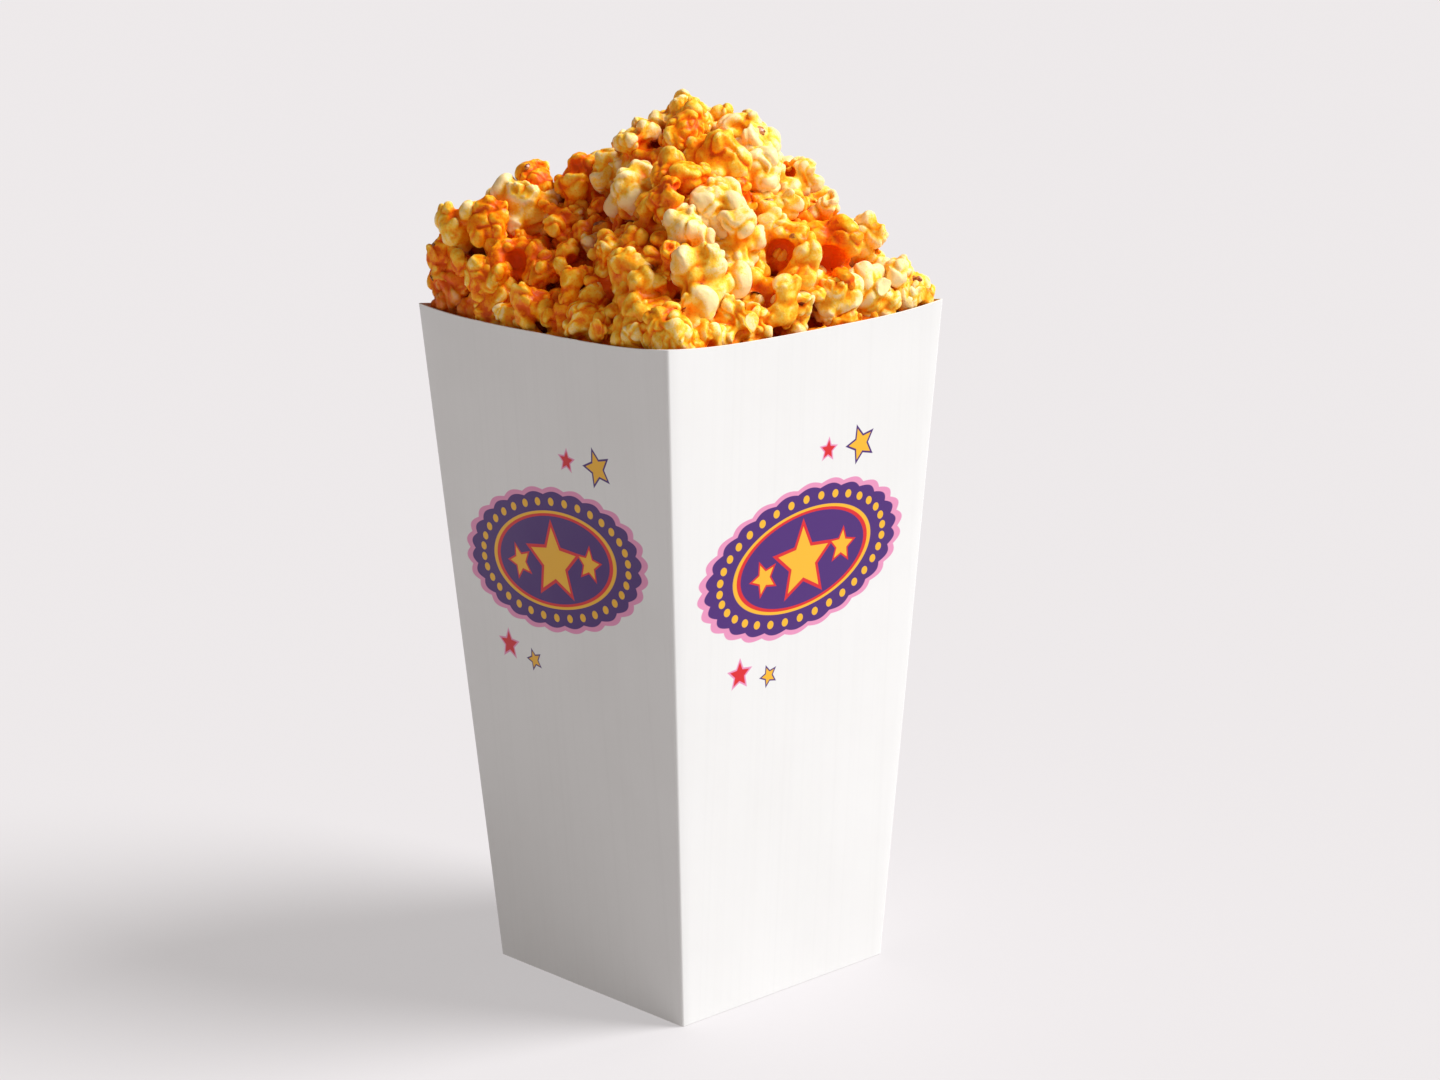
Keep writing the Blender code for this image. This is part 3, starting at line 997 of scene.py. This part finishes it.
def makeBucket(printed, bare):
    bm = bmesh.new()
    size = Vector((bucketSize["topWidth"], bucketSize["topWidth"], bucketSize["height"]))
    bmesh.ops.create_cube(bm, size=1.0)
    bmesh.ops.scale(bm, verts=bm.verts, vec=size)
    bmesh.ops.translate(bm, verts=bm.verts, vec=(0, 0, size.z / 2))
    ends = [face for face in bm.faces if abs(face.normal.z) > 0.5]
    bmesh.ops.delete(bm, geom=ends, context="FACES_ONLY")
    long = wallMesh["longEdge"]
    folds = [edge for edge in bm.edges if edgeRise(edge) > long]
    bmesh.ops.bevel(bm, geom=folds, affect="EDGES", offset=bucketSize["foldRadius"],
                    segments=wallMesh["foldSegments"], profile=0.5, material=-1)
    level = [edge for edge in bm.edges if edge.calc_length() > long and edgeRise(edge) == 0]
    bmesh.ops.subdivide_edges(bm, edges=level, cuts=wallMesh["across"] - 1, use_grid_fill=True)
    upright = [edge for edge in bm.edges if edgeRise(edge) > long]
    bmesh.ops.subdivide_edges(bm, edges=upright, cuts=wallMesh["up"] - 1, use_grid_fill=True)
    for vert in bm.verts:
        vert.co = wallPoint(vert.co)
    bmesh.ops.recalc_face_normals(bm, faces=bm.faces)
    sheet = list(bm.faces)
    bmesh.ops.solidify(bm, geom=sheet, thickness=bucketSize["board"])
    uv = bm.loops.layers.uv.new("wall")
    for face in bm.faces:
        middle = face.calc_center_median()
        outside = face.normal.xy.dot(middle.xy) > 0 and abs(face.normal.z) < 0.5
        face.material_index = 0 if outside else 1
        sideways = abs(face.normal.x) > abs(face.normal.y)
        way = math.copysign(1, middle.x if sideways else -middle.y)
        for loop in face.loops:
            co = loop.vert.co
            loop[uv].uv = ((co.y if sideways else co.x) * way, co.z)
    bucket = addPiece("bucketWalls", bm, [printed, bare])
    bucket.data.set_sharp_from_angle(angle=sharpAngle)
    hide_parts("bucket")


# The base: two large flaps that lock in a jogged seam, over two small ones
flaps = {"jog": 0.012, "gap": 0.0005, "bevel": 0.00015, "lift": 0.0001}


def makeBaseFlap(name, outline, low, thickness, material):
    bm = bmesh.new()
    verts = [bm.verts.new((x, y, low)) for x, y in outline]
    face = bm.faces.new(verts)
    made = bmesh.ops.extrude_face_region(bm, geom=[face])["geom"]
    raised = [item for item in made if isinstance(item, bmesh.types.BMVert)]
    bmesh.ops.translate(bm, verts=raised, vec=(0, 0, thickness))
    bmesh.ops.recalc_face_normals(bm, faces=bm.faces)
    bmesh.ops.bevel(bm, geom=bm.edges, affect="EDGES", offset=flaps["bevel"],
                    segments=2, profile=0.5, material=-1)
    flap = addPiece(name, bm, [material])
    flap.data.set_sharp_from_angle(angle=sharpAngle)
    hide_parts("bucket")


def makeBase(material):
    edge = halfWidth(0) - bucketSize["board"] - flaps["lift"]
    jog, gap, board = flaps["jog"], flaps["gap"], bucketSize["board"]
    front = ((-edge, -edge), (edge, -edge), (edge, -jog), (gap, -jog), (-gap, jog), (-edge, jog))
    makeBaseFlap("baseFlapFront", front, 0.0, board, material)
    back = [(-x, -y) for x, y in front]
    back = [(x, y + gap if k in (2, 3, 4, 5) else y) for k, (x, y) in enumerate(back)]
    makeBaseFlap("baseFlapBack", back, 0.0, board, material)
    whole = ((-edge, -edge), (edge, -edge), (edge, edge), (-edge, edge))
    makeBaseFlap("baseFlapsInside", whole, board + flaps["lift"], board, material)


# The board: smooth and white outside, raw inside and under the base
board = {
    "white": (0.742, 0.737, 0.728),
    "shade": (0.700, 0.692, 0.680),
    "raw": (0.82, 0.80, 0.76),
    "rawShade": 0.93,
    "fibreScale": 420.0,
    "fibreStrength": 0.12,
    "rawFibreStrength": 0.4,
    "fibreRise": 0.00008,
    "mottleScale": 26.0,
    "mottleRange": (0.35, 0.75),
    "mottleShare": 0.35,
    "mottleStrength": 0.12,
    "mottleRise": 0.0006,
    "roughness": 0.40,
    "rawRoughness": 0.75,
    "roughRange": (0.3, 0.7),
    "roughSpread": (0.05, 0.07),
    "shine": 0.4,
    "streaks": (420.0, 3.0),
    "streakRange": (0.45, 0.75),
    "streakDepth": 0.10,
    "streakShade": 0.86,
}

# The print, in millimetres on each face: a tilted scalloped oval, lights round it, loose stars
inks = {
    "purple": (0.060, 0.013, 0.150),
    "pink": (0.70, 0.26, 0.44),
    "gold": (0.80, 0.42, 0.020),
    "red": (0.62, 0.012, 0.018),
}
badge = {
    "centre": (0.0, 160.0),
    "tilt": 8.0,
    "halfSize": (49.0, 26.0),
    "scallops": 26,
    "scallopDepth": 0.045,
    "bands": (
        (1.0, "pink"), (0.935, "purple"), (0.672, "gold"), (0.636, "red"), (0.600, "purple"),
    ),
    "lights": 34,
    "lightsAt": 0.795,
    "lightSize": 1.45,
    "lightInk": "gold",
    "stars": (        # x, y, radius, turn, fill, rim
        (0.0, -0.8, 12.4, 6.0, "gold", "red"),
        (-18.6, -1.0, 5.4, -14.0, "gold", "red"),
        (18.6, -1.0, 5.4, 14.0, "gold", "red"),
        (31.0, 32.5, 5.8, -10.0, "gold", "purple"),
        (15.5, 35.0, 3.4, 12.0, "red", "pink"),
        (-33.0, -31.5, 4.6, 8.0, "red", "pink"),
        (-20.0, -36.5, 3.2, -12.0, "gold", "purple"),
    ),
    "starWaist": 0.47,
    "starRim": 0.19,
    "starRimLeast": 0.6,
    "soft": 0.12,
}


def printLayers(s, paper):
    uv = s.tree.nodes.new("ShaderNodeUVMap")
    uv.uv_map = "wall"
    parts = s.tree.nodes.new("ShaderNodeSeparateXYZ")
    s.tree.links.new(uv.outputs[0], parts.inputs[0])
    u = s.math("MULTIPLY_ADD", parts.outputs[0], 1000.0, -badge["centre"][0])
    v = s.math("MULTIPLY_ADD", parts.outputs[1], 1000.0, -badge["centre"][1])
    tilt = math.radians(badge["tilt"])
    x = s.math("MULTIPLY_ADD", u, math.cos(tilt), s.math("MULTIPLY", v, math.sin(tilt)))
    y = s.math("MULTIPLY_ADD", v, math.cos(tilt), s.math("MULTIPLY", u, -math.sin(tilt)))
    halfX, halfY = badge["halfSize"]
    ovalX, ovalY = s.math("DIVIDE", x, halfX), s.math("DIVIDE", y, halfY)
    angle = s.math("ARCTAN2", ovalY, ovalX)
    reach = s.math("SQRT", s.math("MULTIPLY_ADD", ovalX, ovalX, s.math("MULTIPLY", ovalY, ovalY)))
    soft = badge["soft"]

    def inside(value, limit, width):
        return s.spread(s.math("SUBTRACT", limit, value), -width, width)

    wave = s.math("ABSOLUTE", s.math("COSINE", s.math("MULTIPLY", angle, badge["scallops"] / 2)))
    edge = s.math("MULTIPLY_ADD", wave, badge["scallopDepth"], 1 - badge["scallopDepth"])
    colour = paper
    for k, (share, ink) in enumerate(badge["bands"]):
        limit = s.math("MULTIPLY", edge, share) if k < 2 else share
        colour = s.mix(inside(reach, limit, soft / halfY), colour, inks[ink])
    step = math.tau / badge["lights"]
    nearest = s.math("MULTIPLY", s.math("ROUND", s.math("DIVIDE", angle, step)), step)
    lightX = s.math("MULTIPLY", s.math("COSINE", nearest), badge["lightsAt"] * halfX)
    lightY = s.math("MULTIPLY", s.math("SINE", nearest), badge["lightsAt"] * halfY)
    offX, offY = s.math("SUBTRACT", x, lightX), s.math("SUBTRACT", y, lightY)
    away = s.math("SQRT", s.math("MULTIPLY_ADD", offX, offX, s.math("MULTIPLY", offY, offY)))
    colour = s.mix(inside(away, badge["lightSize"], soft), colour, inks[badge["lightInk"]])
    for starX, starY, size, turn, fill, rim in badge["stars"]:
        fromX, fromY = s.math("SUBTRACT", x, starX), s.math("SUBTRACT", y, starY)
        outer = size * (1 + badge["starRim"]) + badge["starRimLeast"]
        for radius, ink in ((outer, rim), (size, fill)):
            colour = s.mix(starMask(s, fromX, fromY, radius, turn), colour, inks[ink])
    return colour


# Folds the angle into half of one point, then tests the side of that point's straight edge
def starMask(s, x, y, radius, turn):
    away = s.math("SQRT", s.math("MULTIPLY_ADD", x, x, s.math("MULTIPLY", y, y)))
    angle = s.math("ADD", s.math("ARCTAN2", y, x), math.radians(turn) - math.pi / 2 + 4 * math.pi)
    folded = s.math("PINGPONG", angle, math.pi / 5)
    pointX = s.math("MULTIPLY", away, s.math("COSINE", folded))
    pointY = s.math("MULTIPLY", away, s.math("SINE", folded))
    waistX = radius * badge["starWaist"] * math.cos(math.pi / 5)
    waistY = radius * badge["starWaist"] * math.sin(math.pi / 5)
    length = math.hypot(waistX - radius, waistY)
    side = s.math("MULTIPLY", pointY, (waistX - radius) / length)
    side = s.math("MULTIPLY_ADD", s.math("SUBTRACT", pointX, radius), -waistY / length, side)
    return s.spread(side, -badge["soft"], badge["soft"])


def wallStreaks(s, look):
    uv = s.tree.nodes.new("ShaderNodeUVMap")
    uv.uv_map = "wall"
    stretch = s.tree.nodes.new("ShaderNodeVectorMath")
    stretch.operation = "MULTIPLY"
    s.put(uv.outputs[0], stretch.inputs[0])
    stretch.inputs[1].default_value = (*look["streaks"], 1.0)
    lines = s.noise(stretch.outputs[0], 1.0, 2.0, 0.6)
    return s.spread(lines, *look["streakRange"], 0.0, look["streakDepth"])


def makeBoardMaterial(name, look, printedSide):
    s = Shading(name)
    place = s.coords.outputs["Object"]
    mottle = s.noise(place, look["mottleScale"], 4.0, 0.6)
    fibre = s.noise(place, look["fibreScale"], 3.0, 0.65, 0.6)
    share = s.spread(mottle, *look["mottleRange"], 0.0, look["mottleShare"])
    if printedSide:
        dark = tuple(look["streakShade"] * c for c in look["shade"])
        colour = s.mix(share, look["white"], look["shade"])
        colour = printLayers(s, s.mix(wallStreaks(s, look), colour, dark))
        rough, strength = look["roughness"], look["fibreStrength"]
    else:
        colour = s.mix(share, look["raw"], tuple(look["rawShade"] * c for c in look["raw"]))
        rough, strength = look["rawRoughness"], look["rawFibreStrength"]
    s.put(colour, s.shader.inputs["Base Color"])
    less, more = look["roughSpread"]
    rough = s.spread(mottle, *look["roughRange"], rough - less, rough + more)
    s.put(rough, s.shader.inputs["Roughness"])
    s.shader.inputs["Specular IOR Level"].default_value = look["shine"]
    fine = s.bump(fibre, strength, look["fibreRise"])
    fine = s.bump(mottle, look["mottleStrength"], look["mottleRise"], fine)
    s.put(fine, s.shader.inputs["Normal"])
    return s.material


def makeContainer():
    printed = makeBoardMaterial("printedBoard", board, True)
    bare = makeBoardMaterial("bareBoard", board, False)
    makeBucket(printed, bare)
    makeBase(bare)


makeContainer()
say("bucket")


# Stage and light
studio = {
    "floor": (0.285, 0.273, 0.276),
    "floorGlow": (0.450, 0.435, 0.440),
    "floorRadius": 14.0,
    "floorDrop": 0.0002,
    "sky": (0.96, 0.88, 0.80),
    "skyStrength": 0.26,
    "keyStrength": 5.2,
    "keyColour": (0.975, 0.99, 1.0),
    "keyAngle": 32.0,
    "keyAzimuth": 45.0,
    "keyElevation": 46.0,
}


def makeStage(look):
    bm = bmesh.new()
    bmesh.ops.create_circle(bm, cap_ends=True, segments=96, radius=look["floorRadius"])
    bmesh.ops.translate(bm, verts=bm.verts, vec=(0, 0, -look["floorDrop"]))
    mesh = bpy.data.meshes.new("floor")
    bm.to_mesh(mesh)
    bm.free()
    s = Shading("paleFloor")
    s.shader.inputs["Base Color"].default_value = (*look["floor"], 1.0)
    s.shader.inputs["Roughness"].default_value = 0.9
    s.shader.inputs["Specular IOR Level"].default_value = 0.0
    s.shader.inputs["Emission Color"].default_value = (*look["floorGlow"], 1.0)
    s.shader.inputs["Emission Strength"].default_value = 1.0
    mesh.materials.append(s.material)
    floor = bpy.data.objects.new("floor", mesh)
    bpy.context.scene.collection.objects.link(floor)
    world = bpy.data.worlds.new("studio")
    world.use_nodes = True
    sky = world.node_tree.nodes["Background"]
    sky.inputs["Color"].default_value = (*look["sky"], 1.0)
    sky.inputs["Strength"].default_value = look["skyStrength"]
    bpy.context.scene.world = world
    azimuth, elevation = math.radians(look["keyAzimuth"]), math.radians(look["keyElevation"])
    level = math.cos(elevation)
    toLight = Vector((math.sin(azimuth) * level, -math.cos(azimuth) * level, math.sin(elevation)))
    key = bpy.data.objects.new("key", bpy.data.lights.new("key", "SUN"))
    key.data.energy = look["keyStrength"]
    key.data.angle = math.radians(look["keyAngle"])
    key.data.color = look["keyColour"]
    key.rotation_mode = "QUATERNION"
    key.rotation_quaternion = toLight.to_track_quat("Z", "Y")
    bpy.context.scene.collection.objects.link(key)
    bpy.context.scene.view_settings.view_transform = "Standard"


makeStage(studio)
say("stage")
